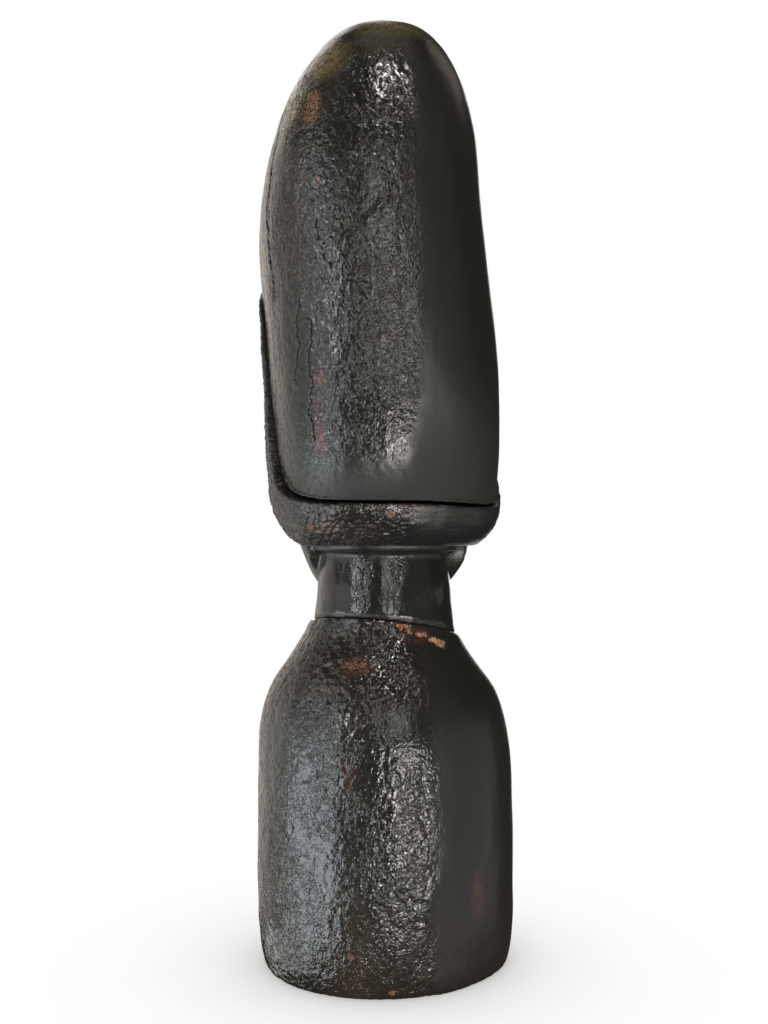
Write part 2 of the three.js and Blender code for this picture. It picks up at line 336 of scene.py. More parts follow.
# ------------------------------------------------------------------ materials
class Shader:
    """A short way to write a material's nodes."""

    def __init__(self, name):
        self.material = bpy.data.materials.new(name)
        self.material.use_nodes = True
        self.tree = self.material.node_tree
        self.principled = self.tree.nodes["Principled BSDF"]
        self.place = self.node("TexCoord").outputs["Object"]

    def node(self, kind, inputs=None, **settings):
        made = self.tree.nodes.new("ShaderNode" + kind)
        for name, value in settings.items():
            setattr(made, name, value)
        for name, value in (inputs or {}).items():
            self.put(made.inputs[name], value)
        return made

    def put(self, socket, value):
        if isinstance(value, bpy.types.NodeSocket):
            self.tree.links.new(value, socket)
        else:
            socket.default_value = value

    def field(self, name):
        return self.node("Attribute", attribute_name=name).outputs["Fac"]

    def maths(self, operation, *values):
        inputs = dict(enumerate(values))
        return self.node("Math", inputs, operation=operation).outputs[0]

    def scaled(self, size):
        """The place on the object, measured in cells of some size in millimetres."""
        cells = [1 / (MM * side) for side in size]
        return self.node("VectorMath", {0: self.place, 1: cells}, operation="MULTIPLY").outputs[0]

    def cloud(self, size, detail=2.0, roughness=0.5, swirl=0.0):
        inputs = {
            "Vector": self.scaled(size), "Scale": 1.0, "Detail": detail, "Roughness": roughness,
            "Distortion": swirl,
        }
        return self.node("TexNoise", inputs).outputs["Fac"]

    def cells(self, size):
        inputs = {"Vector": self.scaled(size), "Scale": 1.0}
        return self.node("TexVoronoi", inputs, feature="F1").outputs["Distance"]

    def stretch(self, value, low, high, to_low=0.0, to_high=1.0):
        inputs = {
            "Value": value, "From Min": low, "From Max": high, "To Min": to_low, "To Max": to_high,
        }
        return self.node("MapRange", inputs, interpolation_type="SMOOTHSTEP").outputs["Result"]

    def blend(self, share, under, over):
        inputs = {"Fac": share, "Color1": under, "Color2": over}
        return self.node("MixRGB", inputs, blend_type="MIX").outputs["Color"]

    def times(self, *values):
        result = values[0]
        for value in values[1:]:
            result = self.maths("MULTIPLY", result, value)
        return result

    def total(self, *values):
        result = values[0]
        for value in values[1:]:
            result = self.maths("ADD", result, value)
        return result

    def bump(self, height):
        """A normal from a height in millimetres."""
        inputs = {"Strength": 1.0, "Distance": MM, "Height": height}
        return self.node("Bump", inputs).outputs["Normal"]


# Linear colours.
BLACK = (0.0098, 0.0096, 0.0080, 1)
BROWN = (0.028, 0.020, 0.013, 1)
# A painted olive reflection on the crown.
SHEEN_OLIVE = (0.115, 0.086, 0.034, 1)
DEEP_RED = (0.075, 0.020, 0.016, 1)
RED_WOOD = (0.165, 0.050, 0.024, 1)
AMBER = (0.21, 0.10, 0.045, 1)
TAN_WOOD = (0.46, 0.23, 0.12, 1)
# Painted shade inside the checks and pits; on the upper peg's end the same colour is its dark middle
# dot.
CREVICE_SHADE_AND_DOT = (0.004, 0.003, 0.003, 1)
HAIR_BLACK = (0.0075, 0.0068, 0.006, 1)
ROOM = (0.035, 0.035, 0.033, 1)
FLOOR_SHADE = (0.50, 0.49, 0.48, 1)
WHITE = (1, 1, 1, 1)
# The sizes of the patterns in the lacquer: across, deep and up.
STRAND_SIZE = (1.0, 1.0, 24)
BROAD_SIZE = (16, 16, 60)
PATCH_SIZE = (13, 13, 19)
FINE_SIZE = (0.85, 0.85, 1.2)
BEAD_SIZE = (1.5, 1.5, 1.7)
FRECKLE_SIZE = (1.3, 1.3, 2.2)
RIPPLE_PER_WRINKLE = 1.9


def lacquered(
    name, wrinkle, wrinkle_depth, calm, bead_depth, grit, roughness, pit_size=3.6, dark=BLACK
):
    """Black lacquer over red-brown wood. Its wrinkles have a size and depth and keep a calm share
    of their strength outside their patches; beads and grit are the bubbles and dust caught in it."""
    s = Shader(name)
    strands = s.cloud(STRAND_SIZE, detail=3.0, roughness=0.6)
    broad = s.cloud(BROAD_SIZE, detail=3.0, roughness=0.55)
    patches = s.cloud(PATCH_SIZE)
    fine = s.cloud(FINE_SIZE, roughness=0.6)
    crawl = s.cloud(wrinkle, swirl=0.7)
    ripple = s.cloud([RIPPLE_PER_WRINKLE * side for side in wrinkle], swirl=0.8)
    worn = s.field("crawl")
    bare = s.field("bare")

    # The lacquer's colour: brown where it is thin, then stains, a painted olive reflection and
    # painted red shading, then specks of wood.
    brown = s.stretch(strands, 0.35, 0.65, 0.35, 1.0)
    brown = s.times(s.stretch(broad, 0.45, 0.75), brown, worn)
    colour = s.blend(s.times(brown, 0.6), dark, BROWN)
    for field, pattern, stain_and_sheen in (
        ("olive_sheen", s.stretch(crawl, 0.3, 0.7, 0.35, 1.0), SHEEN_OLIVE),
        ("red", s.stretch(ripple, 0.38, 0.6, 0.15, 0.85), DEEP_RED),
        ("amber", s.stretch(fine, 0.38, 0.62, 0.1, 1.0), AMBER),
    ):
        colour = s.blend(s.times(s.field(field), pattern), colour, stain_and_sheen)
    freckles = s.stretch(s.cells(FRECKLE_SIZE), 0.05, 0.16, 0.08, 0.0)
    colour = s.blend(s.times(freckles, worn), colour, RED_WOOD)

    # Bare wood, with a ragged edge, and painted shade inside the checks, which on a peg's end is its
    # dark middle dot.
    ragged = s.total(bare, s.times(s.maths("SUBTRACT", crawl, 0.5), 0.55))
    ragged = s.total(ragged, s.times(s.maths("SUBTRACT", fine, 0.5), 0.7))
    bare_share = s.stretch(ragged, 0.40, 0.5)
    wood = s.blend(s.stretch(s.total(bare, s.times(strands, 0.35)), 0.75, 1.2), RED_WOOD, TAN_WOOD)
    wood = s.blend(s.stretch(strands, 0.38, 0.60, 0.8, 0.0), wood, BROWN)
    wood = s.blend(s.stretch(fine, 0.3, 0.55, 0.6, 0.0), wood, BROWN)
    colour = s.blend(bare_share, colour, wood)
    colour = s.blend(s.field("check"), colour, CREVICE_SHADE_AND_DOT)

    # Pits, darkened with painted shade, and how dull the surface is.
    pit_cells = s.cells((pit_size, pit_size, 1.3 * pit_size))
    pits = s.stretch(pit_cells, 0.10, 0.26, 1.0, 0.0)
    pits = s.times(pits, worn, s.stretch(patches, 0.40, 0.55))
    colour = s.blend(s.times(pits, 0.7), colour, CREVICE_SHADE_AND_DOT)
    dull = s.total(
        roughness,
        s.times(s.field("dull"), 0.40),
        s.times(s.stretch(patches, 0.45, 0.65), worn, 0.04),
        s.times(bare_share, 0.3),
        s.times(pits, 0.3),
        s.times(s.field("check"), 0.4),
    )

    # The relief, in millimetres: wrinkles, beads, grit, pits and brush lines.
    beads = s.stretch(s.cells(BEAD_SIZE), 0.05, 0.50, 1.0, 0.0)
    dusty = s.times(worn, s.total(s.stretch(broad, 0.35, 0.6, 0.35, 1.0), s.field("grain")))
    ridges = s.maths("ABSOLUTE", s.maths("SUBTRACT", crawl, 0.5))
    wide_ridges = s.maths("ABSOLUTE", s.maths("SUBTRACT", ripple, 0.5))
    wide_share = s.times(worn, s.stretch(patches, 0.44, 0.62))
    ridge_share = s.times(worn, s.stretch(patches, 0.38, 0.60, calm, 1.0))
    brushed = s.times(worn, s.stretch(broad, 0.42, 0.58, 1.0, 0.15), 0.05)
    height = s.total(
        s.times(s.stretch(ridges, 0.0, 0.12), ridge_share, -wrinkle_depth),
        s.times(s.stretch(wide_ridges, 0.0, 0.14), wide_share, -0.9 * wrinkle_depth),
        s.times(beads, dusty, bead_depth),
        s.times(fine, s.maths("MULTIPLY_ADD", worn, 0.85, 0.15), grit),
        s.times(pits, -0.10),
        s.times(strands, s.total(brushed, s.times(s.field("brush"), 0.16), 0.03)),
        s.times(bare_share, -0.12),
    )
    s.put(s.principled.inputs["Base Color"], colour)
    s.put(s.principled.inputs["Roughness"], dull)
    s.put(s.principled.inputs["Normal"], s.bump(height))
    return s.material


def raw_wood(name):
    """Bare hardwood, where nothing was ever painted."""
    s = Shader(name)
    fine = s.cloud((0.5, 0.5, 6), detail=3.0, roughness=0.6)
    wide = s.cloud((2.5, 2.5, 20))
    colour = s.blend(s.stretch(fine, 0.35, 0.7), RED_WOOD, TAN_WOOD)
    colour = s.blend(s.stretch(wide, 0.45, 0.65, 0.0, 0.8), colour, BROWN)
    s.put(s.principled.inputs["Base Color"], colour)
    s.put(s.principled.inputs["Roughness"], s.stretch(fine, 0.2, 0.8, 0.45, 0.75))
    s.put(s.principled.inputs["Normal"], s.bump(s.times(fine, 0.12)))
    return s.material


# ------------------------------------------------------------------ cap
# The corners that each drying check of the cap wanders through, and its width and depth.
CAP_CHECKS = (
    ([(45.7, 12.4, 390), (50, 14, 372), (54.6, 15.5, 352), (55.9, 16, 341), (54.0, 19, 318),
      (53.2, 20.4, 295.8)], 1.0, 1.8),
    ([(46.1, 39.9, 292), (45.6, 38.5, 276), (44.1, 34.8, 257)], 0.5, 0.9),
    ([(43.0, 46.5, 284), (41.3, 45.2, 281), (39.2, 42, 258), (37.8, 38.9, 233)], 0.5, 0.9),
)
# The corners of the small welt on its back.
CAP_WELT = [(20.5, 60.5, 322), (16.8, 61, 326.5), (11.5, 61.5, 330)]
# Sides of the cap, as turned_to takes them.
CAP_ROUGH_SIDE = (80, 73, 87)
CAP_BRUSHED_SIDE = (58, 16, 30)
CAP_MATT_FOOT_SIDE = (-60, 80, 150)
# Heights between which something starts: the crown's edge, the foot that draws in, the calm lacquer
# over the foot, and the brush lines.
CAP_CROWN = (410, 394)
CAP_FOOT = (242, 205)
CAP_CALM_FOOT = (236, 222)
CAP_BRUSHED = (350, 310)
# The matt foot: its top and height at the back, and how much more both are on the right.
MATT_TOP, MATT_TOP_CLIMB = 235, 62
MATT_HEIGHT, MATT_HEIGHT_CLIMB = 29, 53
# Spots: centre and radii.
CAP_CRINKLED = ((40, 48, 318), (20, 22, 62))
CAP_CALM = ((45, 36, 262), (14, 20, 44))
# Spots of a field: the field, its share, and the spot's centre and radii.
CAP_STAINS_AND_SHEEN = (
    ("red", 0.8, (37.1, 45.5, 259.8), (4.5, 5, 7)),
    ("red", 0.9, (35.7, 41.9, 234), (5, 5, 11)),
    ("red", 0.5, (36, 43, 246), (4, 5, 14)),
    ("red", 0.12, (47, 42, 326), (7, 9, 46)),
    ("red", 0.05, (25, 58, 318), (7, 8, 60)),
    ("amber", 0.6, (40, 42.5, 374), (5.5, 6, 12)),
    ("bare", 0.42, (37.1, 45.5, 260.5), (2.5, 3, 3.5)),
    ("bare", 0.42, (44.8, 26, 271), (3, 5, 4)),
    ("grain", 1.2, (10, 62, 280), (24, 16, 74)),
    ("grain", 1.0, (36, 50, 340), (16, 20, 34)),
    # Painted olive reflection on the crown.
    ("olive_sheen", 1.0, (6, 30, 424), (38, 36, 20)),
    ("olive_sheen", 0.9, (34, 35, 398), (15, 20, 17)),
    ("olive_sheen", 0.5, (44, 22, 385), (14, 26, 34)),
)


def faces_core(points, normals):
    """True on the inner walls of the cap."""
    away = np.hypot(points[:, 0], points[:, 1])
    return (points[:, :2] * normals[:, :2]).sum(1) < -0.25 * away


def make_cap(material):
    """The cap: wrinkled gloss at the back and on the left, matt on the right and at the foot."""
    piece = dense_copy("cap", "carved_cap", voxel=0.9, sharp_from=30, rounds=30)
    hidden = faces_core(points_of(piece.data), normals_of(piece.data))
    thinned(piece, hidden, ratio=0.62)
    checks = [
        wandering(piece, corners, seed=number)
        for number, (corners, _, _) in enumerate(CAP_CHECKS)
    ]
    for reach in (2.6, 1.3):
        refined(piece, checks, reach)
    s = Surface(piece)
    up = s.points[:, 2]
    outside = ramp(s.outwards() + s.normals[:, 2], -0.1, 0.2)
    below_crown = ramp(up, *CAP_CROWN)
    ragged = s.points + lumps(s.points, (7, 7, 11), 22, 3)[:, None] * np.array([3.5, 0, 0])
    rough_side = 0.4 + below_crown * (turned_to(ragged, *CAP_ROUGH_SIDE) - 0.4)

    s.raise_by(outside * 0.55 * lumps(s.points, (30, 30, 55), 1))
    s.raise_by(outside * (0.08 + 0.08 * rough_side) * lumps(s.points, (6, 6, 22), 2, 3))
    s.raise_by(-1.5 * outside * ramp(up, *CAP_FOOT) ** 2)
    crinkled = spot(s.points, *CAP_CRINKLED)
    s.raise_by(-0.75 * crinkled * hollows(s.points, (2.8, 2.8, 5.0), 3))
    wrinkled = rough_side * outside * below_crown
    s.raise_by(-0.36 * wrinkled * hollows(s.points, (2.9, 2.9, 4.4), 15))
    welt = wandering(piece, CAP_WELT, seed=21)
    s.raise_by(0.4 * ramp(distance_to(s.points, welt), 2.4, 0.3))
    for check, (_, width, depth) in zip(checks, CAP_CHECKS):
        s.crack(check, width, depth)
    s.chip((44, 14, 210), (5, 7, 3.5), depth=0.8, bare=0.34)

    # The right side and the foot are matt, and the matt foot reaches higher on the right side.
    calm = np.maximum(spot(s.points, *CAP_CALM), 0.6 * ramp(up, *CAP_CALM_FOOT))
    right_side = 1 - rough_side
    foot_top = MATT_TOP + MATT_TOP_CLIMB * right_side ** 2
    foot_height = MATT_HEIGHT + MATT_HEIGHT_CLIMB * right_side ** 2
    matt_foot = ramp(up, foot_top, foot_top - foot_height)
    matt_foot = matt_foot * turned_to(s.points, *CAP_MATT_FOOT_SIDE)
    s.paint("crawl", 0.08 + 0.92 * rough_side * (1 - 0.8 * calm))
    s.paint("dull", np.maximum(0.65 * right_side, 1.7 * matt_foot))
    s.paint("dull", 0.35 * calm)
    s.paint("brush", 0.4 * turned_to(s.points, *CAP_BRUSHED_SIDE) * ramp(up, *CAP_BRUSHED))
    s.stain_and_sheen(CAP_STAINS_AND_SHEEN)
    s.finish()
    handed_over(piece, material, "polished_wood", "cap")
    return piece


# ------------------------------------------------------------------ hair roll
HAIR_BRUSHED_SIDE = (-50, 38, 60)
HAIR_DULL_SIDE = (82, 38, 55)
HAIR_SWELLING = ((26, 47, 203), (13, 8, 5))
HAIR_HOLLOW = ((13, 48, 196), (17, 8, 6))
HAIR_STAINS = (
    ("bare", 0.5, (39.4, 33, 196.2), (4, 5, 3)),
    ("red", 0.45, (34, 40, 196), (11, 9, 4)),
    ("red", 0.5, (4, 52, 205), (12, 5, 2.5)),
)


def make_hair(material):
    """The hair roll: punched all over, but smooth with brush lines on its right."""
    piece = dense_copy("hair_roll", "carved_hair_roll", voxel=0.72, sharp_from=30, rounds=14)
    s = Surface(piece)
    outside = ramp(s.outwards(), 0.0, 0.4)
    brushed = turned_to(s.points, *HAIR_BRUSHED_SIDE)
    granular = outside * (1 - 0.9 * brushed)
    s.raise_by(outside * 0.5 * lumps(s.points, (13, 13, 11), 4))
    s.raise_by(granular * (0.75 * grains(s.points, (1.9, 1.9, 1.7), 1) - 0.38))
    s.raise_by(granular * 0.28 * lumps(s.points, (2.0, 2.0, 1.5), 5))
    s.raise_by(-granular * 0.5 * ramp(grains(s.points, (3.1, 3.1, 2.6), 2), 0.62, 0.9))
    s.raise_by(outside * brushed * 0.16 * lumps(s.points, (14, 14, 1.7), 14))
    s.raise_by(0.7 * spot(s.points, *HAIR_SWELLING))
    s.raise_by(-0.6 * spot(s.points, *HAIR_HOLLOW))
    s.paint("crawl", 1 - 0.75 * brushed)
    s.paint("dull", 0.8 * brushed + 0.5 * turned_to(s.points, *HAIR_DULL_SIDE))
    s.stain_and_sheen(HAIR_STAINS)
    s.finish()
    handed_over(piece, material, "granular_hair", "hair_roll")
    return piece


# ------------------------------------------------------------------ head
# Blistered streaks at the back of the neck: centre and radii.
NECK_STREAK_LEFT = ((15.2, 25.3, 174), (6, 8, 26))
NECK_STREAK_MIDDLE = ((0, 29.5, 178), (7, 6, 12))
# The plain form under the face: height, half width and reach to the front.
FACE_FORM = (
    (158.5, 10, 43), (161, 17, 49), (166, 25, 53), (174, 32, 56.5), (184, 37, 58.5), (196, 41.2, 60),
    (212, 44.2, 60.5), (232, 46.4, 60.5), (254, 47.8, 61), (280, 48.8, 62), (312, 49.4, 62),
)
FACE_SQUARENESS = 2.35
EYE_X, EYE_Z = 19.5, 243.5
LIP_Z = 190.6
LIP_HALF_WIDTH = 17.5
EAR_Y, EAR_Z = -25, 232
# The nose at some heights: how far it stands out on its ridge, and its half width.
NOSE_FORM = (
    (203.5, 0, 6), (206, 3.5, 7.4), (208.5, 9.5, 8), (212, 14.2, 7.6), (217, 13.6, 6.4),
    (224, 11, 5.4), (233, 8, 4.8), (243, 5.0, 4.9), (252, 3.2, 7), (262, 0.8, 12), (270, 0, 14),
)
# The face's soft swellings and hollows, the same on both sides: how far they stand out, their
# middle and radii in the front view, and how sharply they end.
FACE_SWELLS = (
    (-6.6, (18.5, 245.5), (15.5, 10.5), 1.7),  # eye socket
    (2.6, (31, 226), (15, 12), 1.0),  # cheekbone
    (-2.0, (28, 203), (13, 13), 1.0),  # cheek
    (3.6, (0, 192), (23, 17), 1.3),  # mouth
    (-0.9, (0, 201.5), (2.0, 5), 1.0),  # groove under the nose
    (0.5, (3.9, 201), (1.5, 5), 1.0),  # that groove's edges
    (-1.6, (0, 180.6), (11, 2.6), 1.0),  # fold under the lip
    (4.6, (0, 171.5), (13, 8), 1.3),  # chin
    (-1.4, (42, 262), (9, 16), 1.0),  # temple
)


def through(table, column, at):
    """A smooth curve through one column of a table whose first column rises."""
    xs = np.array([row[0] for row in table], float)
    ys = np.array([row[column] for row in table], float)
    slopes = np.gradient(ys, xs)
    at = np.clip(at, xs[0], xs[-1])
    k = np.clip(np.searchsorted(xs, at) - 1, 0, len(xs) - 2)
    span = xs[k + 1] - xs[k]
    t = (at - xs[k]) / span
    rise = ys[k + 1] - ys[k]
    start, end = slopes[k] * span, slopes[k + 1] * span
    return ys[k] + t * (start + t * (3 * rise - 2 * start - end + t * (start + end - 2 * rise)))


def swell(x, z, centre, radii, sharp=1.0):
    """A round bump, 1 in its middle, that fades out beyond its radii."""
    away = ((x - centre[0]) / radii[0]) ** 2 + ((z - centre[1]) / radii[1]) ** 2
    return np.exp(-(away ** sharp))


def fold(z, line, up, down):
    """A ridge along a line: 1 on it, fading above and below over different distances."""
    off = z - line
    return np.exp(-((off / np.where(off > 0, up, down)) ** 2))


def lids(x, z):
    """The eye's part of the face: ball, lids with their rims, and the fold over the upper lid."""
    t = np.clip((x - EYE_X) / 12.2, -1, 1)
    open_share = (1 - t * t) ** 0.75
    tilt = 0.045 * (x - EYE_X)
    upper = EYE_Z + tilt + 3.0 * open_share
    lower = EYE_Z + tilt - 2.2 * open_share
    within = ramp(np.minimum(upper - z, z - lower), -0.35, 0.45) * ramp(1 - np.abs(t), 0.0, 0.06)
    near = swell(x, z, (EYE_X, EYE_Z + 0.5), (16, 9.5), 2)
    rim = fold(z, upper, 1.7, 0.8) + 0.75 * fold(z, lower, 0.8, 1.5)
    crease = fold(z, upper + 3.6, 0.9, 0.9)
    ball = 5.6 * np.sqrt(np.clip(1 - ((x - EYE_X) / 15) ** 2 - ((z - EYE_Z) / 10.5) ** 2, 0, 1))
    rim *= ramp(1 - np.abs(t), -0.02, 0.15)
    return ball - 1.15 * within + near * (0.75 * rim - 0.8 * crease)


def lips(x, z):
    """Full lips with a groove between them, and the hollow over the upper one."""
    half = LIP_HALF_WIDTH
    share = np.sqrt(np.clip(1 - (x / half) ** 2, 0, 1))
    line = LIP_Z - 0.006 * x * x - 0.5 * np.exp(-((x / 3.5) ** 2))
    bow = 1 - 0.16 * np.exp(-((x / 2.6) ** 2))
    above = np.clip((z - line) / (7.2 * share * bow + 1e-6), 0, 1)
    below = np.clip((line - z) / (8.2 * share + 1e-6), 0, 1)
    upper = np.where(z > line, np.sin(math.pi * above ** 0.62), 0)
    lower = np.where(z <= line, np.sin(math.pi * below ** 0.58), 0)
    inside = ramp(1 - np.abs(x / half), 0.0, 0.3)
    groove = np.exp(-(((z - line) / 0.85) ** 2)) * ramp(half + 2 - np.abs(x), 0, 4)
    corner = swell(np.abs(x), z, (half + 1, LIP_Z - 2), (2.6, 2.6))
    return 3.0 * inside * (upper + 1.1 * lower) - 1.5 * groove - corner


def face_relief(x, z):
    """How far the face stands out of its plain form, in millimetres, over its front view."""
    side = np.abs(x)
    brow_line = 256 + 4.2 * np.exp(-(((side - 23) / 13) ** 2))
    brow = fold(z, brow_line, 6.5, 2.3) * ramp(side, 2, 11) * (1 - ramp(side, 34, 43))
    ridge = through(NOSE_FORM, 1, z)
    width = through(NOSE_FORM, 2, z)
    bridge = ridge / (1 + (side / width) ** 3.4)
    wing = swell(side, z, (9.0, 210.6), (4.6, 5.0), 1.6)
    nostril = swell(side, z, (4.9, 206.6), (2.6, 1.5), 1.5)
    wing_groove = swell(side, z, (14.2, 212.5), (1.6, 5.5), 1.3)
    relief = 2.6 * brow + np.maximum(bridge, 6.8 * wing) - 3.2 * nostril - 0.8 * wing_groove
    relief += lids(side, z) + lips(x, z)
    for amount, centre, radii, sharp in FACE_SWELLS:
        relief += amount * swell(side, z, centre, radii, sharp)
    return relief


def shaped_face(points, normals):
    """Puts the front of the head on the face's form, and leaves the rest."""
    x, y, z = points.T
    faces_front = (normals[:, 1] < 0.2) | ((np.abs(x) < 34) & (z < 284))
    half = through(FACE_FORM, 1, z)
    front = through(FACE_FORM, 2, z)
    across = np.abs(x) / half
    plain = front * (1 - np.clip(across, 0, 0.995) ** FACE_SQUARENESS) ** (1 / FACE_SQUARENESS)
    share = (1 - ramp(across, 0.86, 0.97)) * ramp(z, 164, 171) * (1 - ramp(z, 286, 296))
    share *= (y < -20) & faces_front
    placed = points.copy()
    placed[:, 1] += share * (-(plain + face_relief(x, z)) - y)
    return placed


def ear_relief(points):
    """How far an ear's rim, folds and hollow stand out to its side."""
    side, y, z = np.abs(points[:, 0]), points[:, 1], points[:, 2]
    rise = z - EAR_Z
    lean = y - EAR_Y + 0.14 * rise
    away = np.sqrt((lean / 7.6) ** 2 + (rise / 15.5) ** 2)
    around = np.degrees(np.arctan2(rise, -lean))
    rim = np.exp(-(((away - 0.86) / 0.13) ** 2)) * (1 - ramp(np.abs(around + 20), 50, 20) * 0.85)
    inner = np.exp(-(((away - 0.5) / 0.12) ** 2)) * ramp(lean, -2, 1.5) * ramp(z, 224, 229)
    hollow = swell(lean, z, (-0.6, 229.5), (2.6, 5.0), 1.5)
    hollow += 0.5 * swell(lean, z, (0.6, 240), (2.0, 4.0), 1.5)
    lobe = swell(lean, z, (0, 219.5), (3.6, 3.4), 1.5)
    flap = swell(lean, z, (-5.2, 229.5), (1.6, 2.8))
    near = (side > 42.5) * (1 - ramp(away, 1.0, 1.15))
    return near * (1.3 * rim + 0.9 * inner - 1.5 * hollow + 0.7 * lobe + 0.9 * flap)


def under_headdress(points):
    """True on the core that the cap and the hair roll cover."""
    inner = (np.abs(points[:, 0]) < 38.5) & (points[:, 2] > 193)
    return inner & ((points[:, 1] > -22) | (points[:, 2] > 305))


def make_head(material):
    """The head block: face, ears and neck, and the plain core under the headdress."""
    piece = dense_copy("head_block", "carved_head", voxel=1.0, sharp_from=75, rounds=8)
    put_points(piece.data, shaped_face(points_of(piece.data), normals_of(piece.data)))
    reworked(piece, "REMESH", mode="VOXEL", voxel_size=0.74 * MM)
    mesh = piece.data
    points = points_of(mesh)
    soft = np.where(points[:, 2] < 157, 0.2, 0.5)
    put_points(mesh, smoothed(points, edges_of(mesh), soft, 3))
    thinned(piece, under_headdress(points_of(piece.data)), ratio=0.5)
    s = Surface(piece)
    s.points[:, 0] += np.sign(s.points[:, 0]) * ear_relief(s.points)
    up = s.points[:, 2]
    on_face = ramp(-s.points[:, 1], 20, 40) * ramp(up, 160, 168)
    s.raise_by((1 - 0.8 * on_face) * 0.22 * lumps(s.points, (9, 9, 22), 6))
    s.raise_by(0.06 * lumps(s.points, (2.6, 2.6, 5), 16))

    # The back of the neck is matt, but for two blistered streaks.
    nape = ramp(s.points[:, 1], -8, 8) * ramp(up, 196, 188)
    blistered = np.maximum(
        spot(s.points, *NECK_STREAK_LEFT), 0.8 * spot(s.points, *NECK_STREAK_MIDDLE)
    )
    s.raise_by(0.18 * blistered * lumps(s.points, (1.8, 1.8, 2.4), 18))
    s.paint("grain", blistered)
    s.paint("crawl", 0.5 - 0.35 * on_face - 0.35 * nape * (1 - blistered) + 0.5 * nape * blistered)
    matt_nape = nape * (1 - blistered) * (0.15 + 0.8 * ramp(up, 179, 184))
    jaw = (1 - nape) * (1 - on_face) * ramp(up, 215, 200)
    above_joint = above_neck_joint(s.points)
    rim = ramp(above_joint, 2.6, 1.2)
    s.paint("dull", np.maximum(matt_nape, np.maximum(jaw, rim)))
    s.paint("dull", 0.6 * on_face)

    # The neck's end has a ragged edge and, inside it, reaches down to the shoulder block's top.
    end_face = ramp(-s.normals[:, 2], 0.6, 0.9) * ramp(above_joint, 1.6, 1.2)
    s.raise_by(-0.25 * rim * (1 - end_face) * ramp(lumps(s.points, (4, 4, 3), 21), -0.1, 0.4))
    s.raise_by(0.45 * end_face)
    s.finish()
    handed_over(piece, material, "polished_wood", "head_block")


# ------------------------------------------------------------------ shoulder block
# The corners that the drying check of the block wanders through.
BLOCK_CHECK = [(12.4, 31.3, 155), (14.5, 41, 137), (16.5, 51.9, 116)]
# Chips along the neck joint: centre, radii, depth and how bare the wood is.
BLOCK_CHIPS = (
    ((-1.3, 33.5, 153.2), (4.6, 4, 1.5), 0.6, 0.8),
    ((-3.4, 34.5, 151), (2, 3, 1.8), 0.5, 0.9),
    ((-9.5, 33.2, 149.6), (4.6, 4, 1.8), 0.6, 0.9),
    ((-15, 31.5, 147.2), (3, 4, 1.5), 0.6, 1.0),
    ((-18.9, 31.2, 145.4), (4.2, 4.5, 2.7), 0.7, 1.25),
)
# Sides of the block, as turned_to takes them.
BLOCK_LEFT_SIDE = (75, 77, 92)
BLOCK_RED_SHADING_SIDE = (-80, 10, 24)
BLOCK_AMBER_SIDE = (-40, 60, 90)
# Heights between which the pits of the top and the amber of the foot start.
BLOCK_PITTED = (108, 128)
BLOCK_AMBER_FOOT = (52, 8)
BLOCK_BRUSHED = ((-1, 54, 110), (16, 12, 20))
BLOCK_CHOPPED = ((22, 46, 120), (17, 14, 19))
BLOCK_STAINS = (
    ("bare", 0.41, (20.8, 38.5, 138), (11, 10, 5)),
    ("bare", 0.37, (-30.3, 47.6, 37), (3, 4, 8)),
    ("bare", 0.5, (24.7, 50.7, 18.8), (3, 3, 3)),
    ("bare", 0.5, (7.8, 52.7, 3.1), (3, 3, 2.5)),
    ("amber", 0.25, (20, 39, 137), (12, 10, 6)),
    ("red", 0.4, (-9, 35, 149.5), (15, 8, 5)),
    ("red", 0.55, (-31, 47, 40), (6, 7, 14)),
    ("red", 0.2, (26, 49, 92), (8, 9, 9)),
    ("brush", 0.6, (-14, 51, 113), (11, 12, 13)),
    ("grain", 1.0, (0, 52, 80), (16, 12, 60)),
)


